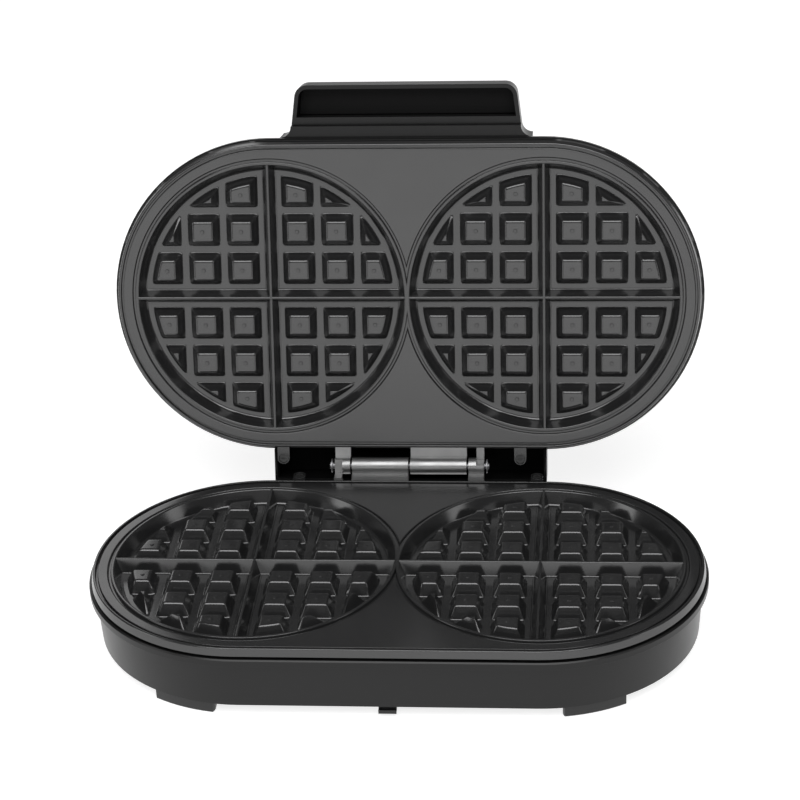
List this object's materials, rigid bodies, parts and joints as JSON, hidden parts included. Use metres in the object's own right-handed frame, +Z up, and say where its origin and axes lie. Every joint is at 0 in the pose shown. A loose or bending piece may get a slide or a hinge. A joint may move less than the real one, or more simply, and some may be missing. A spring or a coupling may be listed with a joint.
{
  "type": "waffle maker",
  "caption": "Twin round deep-pocket waffle maker with hinged lid, oval dark housing, cast non-stick plates and a front handle, shown open",
  "frame": {"origin": "on the table, below the midpoint between the two wells", "axes": "+X left to right seen from the handle side, +Y towards the hinge, +Z up"},
  "size_m": [0.378, 0.3039, 0.2868],
  "materials": {
    "housing": "fine texture",
    "base_plastic": "fine texture",
    "rubber": "matt",
    "steel": "satin",
    "black_plastic": "satin",
    "lid_panel": "satin gloss",
    "handle": "satin",
    "handle_insert": "fine texture",
    "nonstick_casting": "grey non-stick coating, semi-gloss",
    "dark_screw": "blackened",
    "heating_tube": "annealed",
    "reflector": "mill finish",
    "ceramic": "ceramic, matt",
    "brass": "plain",
    "wire": "glass-fibre sleeve",
    "lamp": "clear",
    "red_lens": "translucent",
    "green_lens": "translucent"
  },
  "bodies": {
    "base": {"base_housing": "housing", "base_cover": "base_plastic", "foot_pads": "rubber", "cover_screws": "steel", "cord_gland": "black_plastic", "gland_nut": "black_plastic", "lower_plate": "nonstick_casting", "lower_plate_screws": "steel", "lower_ear_screws": "dark_screw", "lower_element": "heating_tube", "lower_reflector": "reflector", "lower_reflector_screws": "steel", "base_thermal_fuse": "ceramic", "fuse_clip": "steel", "terminal_block": "ceramic", "terminal_screws": "brass", "base_wires": "wire", "hinge_pin": "steel", "hinge_clips": "steel"},
    "lid": {"lid_housing": "housing", "lid_panel": "lid_panel", "panel_screws": "steel", "upper_plate": "nonstick_casting", "upper_plate_screws": "steel", "upper_ear_screws": "dark_screw", "upper_element": "heating_tube", "upper_reflector": "reflector", "upper_reflector_screws": "steel", "thermostat": "black_plastic", "thermostat_bracket": "steel", "lid_thermal_fuse": "ceramic", "lid_fuse_clip": "steel", "lid_wires": "wire", "lamp_holder": "ceramic", "neon_lamps": "lamp", "power_lens": "red_lens", "ready_lens": "green_lens", "handle": "handle", "handle_insert": "handle_insert", "handle_screws": "steel"}
  },
  "joints": [
    {"name": "lid_hinge", "type": "hinge", "parent": "base", "child": "lid", "pos_m": [0, 0.1104, 0.0534], "axis": [1, 0, 0], "range_deg": [0, 103.4]}
  ]
}
